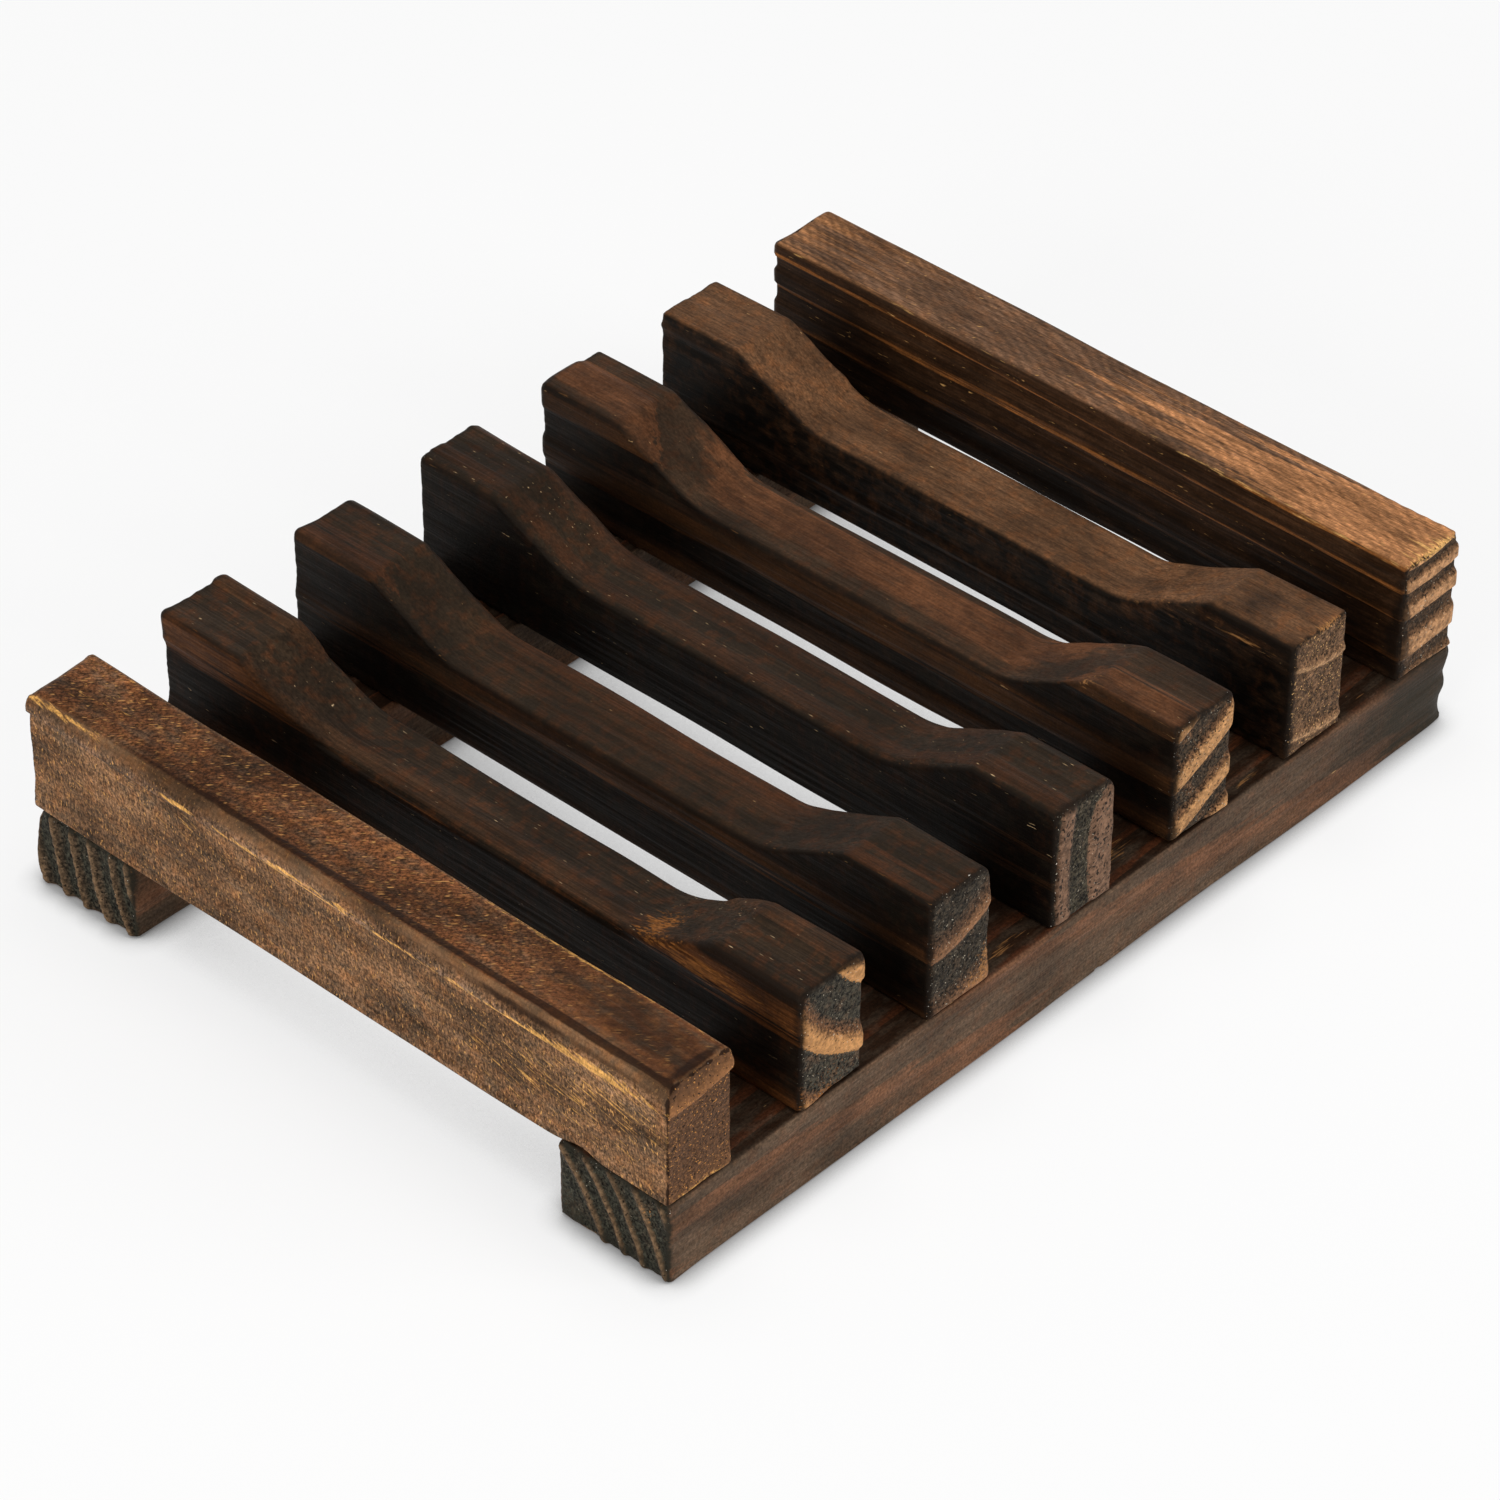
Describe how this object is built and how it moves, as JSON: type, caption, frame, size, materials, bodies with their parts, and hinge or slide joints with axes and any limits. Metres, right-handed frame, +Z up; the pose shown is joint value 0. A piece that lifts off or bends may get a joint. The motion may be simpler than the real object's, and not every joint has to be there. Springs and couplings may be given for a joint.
{
  "type": "soap dish",
  "caption": "Slatted wooden soap dish: slats on edge across a pair of flat rails, the inner slats dished to hold a bar, with open gaps between them that let it drain.",
  "frame": {"origin": "on the plane the tray rests on, under the middle of its outline", "axes": "+X along the rails, +Y along the slats, +Z up"},
  "size_m": [0.115, 0.085, 0.0234],
  "materials": {
    "rail_wood": "charred, wire-brushed softwood, satin",
    "slat_wood": "charred, wire-brushed softwood, satin",
    "brad_steel": "bright drawn steel wire"
  },
  "bodies": {
    "root": {"left_rail": "rail_wood", "right_rail": "rail_wood", "front_end_slat": "slat_wood", "dished_slat_1": "slat_wood", "dished_slat_2": "slat_wood", "dished_slat_3": "slat_wood", "dished_slat_4": "slat_wood", "dished_slat_5": "slat_wood", "rear_end_slat": "slat_wood", "brads": "brad_steel"}
  },
  "joints": []
}
